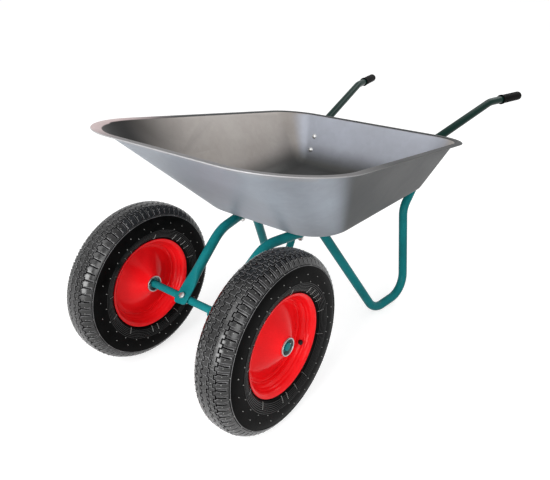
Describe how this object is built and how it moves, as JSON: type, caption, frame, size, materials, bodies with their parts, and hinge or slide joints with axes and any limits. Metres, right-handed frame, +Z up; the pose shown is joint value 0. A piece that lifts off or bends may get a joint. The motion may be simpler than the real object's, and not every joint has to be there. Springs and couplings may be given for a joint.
{
  "type": "two wheel wheelbarrow",
  "caption": "Garden wheelbarrow: pressed steel tray on bent tube legs and handles, with pneumatic wheels on one axle",
  "frame": {"origin": "on the ground, under the middle of the overall length and width", "axes": "+X to the left hand of the person who pushes it, +Y from the wheels to the handles, +Z up"},
  "size_m": [0.7036, 1.4943, 0.5957],
  "materials": {
    "galvanised": "galvanised sheet, satin and slightly mottled",
    "frame_paint": "gloss teal green paint",
    "grip_rubber": "smooth black",
    "tyre": "black rubber, block tread",
    "tube_rubber": "matt",
    "rim_paint": "gloss red enamel",
    "valve_rubber": "matt",
    "bearing_steel": "polished",
    "zinc": "bright zinc plate"
  },
  "bodies": {
    "barrow": {"tray": "galvanised", "frame_tube_left": "frame_paint", "frame_tube_right": "frame_paint", "grip_left": "grip_rubber", "grip_right": "grip_rubber", "axle": "frame_paint", "axle_washers": "zinc", "split_pins": "zinc", "bearing_inner_rings": "bearing_steel", "axle_bolts": "zinc", "axle_nuts": "zinc", "floor_bolts": "zinc", "floor_nuts": "zinc", "wall_bolts": "zinc", "wall_nuts": "zinc"},
    "wheel_left": {"tyre_left": "tyre", "inner_tube_left": "tube_rubber", "rim_left": "rim_paint", "outer_disc_left": "rim_paint", "inner_disc_left": "rim_paint", "hub_left": "zinc", "bearing_outer_rings_left": "bearing_steel", "bearing_balls_left": "bearing_steel", "valve_left": "valve_rubber", "valve_cap_left": "valve_rubber"},
    "wheel_right": {"tyre_right": "tyre", "inner_tube_right": "tube_rubber", "rim_right": "rim_paint", "outer_disc_right": "rim_paint", "inner_disc_right": "rim_paint", "hub_right": "zinc", "bearing_outer_rings_right": "bearing_steel", "bearing_balls_right": "bearing_steel", "valve_right": "valve_rubber", "valve_cap_right": "valve_rubber"}
  },
  "joints": [
    {"name": "wheel_left_spin", "type": "hinge", "parent": "barrow", "child": "wheel_left", "pos_m": [0.208, -0.55023, 0.197], "axis": [1, 0, 0], "continuous": true},
    {"name": "wheel_right_spin", "type": "hinge", "parent": "barrow", "child": "wheel_right", "pos_m": [-0.208, -0.55023, 0.197], "axis": [1, 0, 0], "continuous": true}
  ]
}
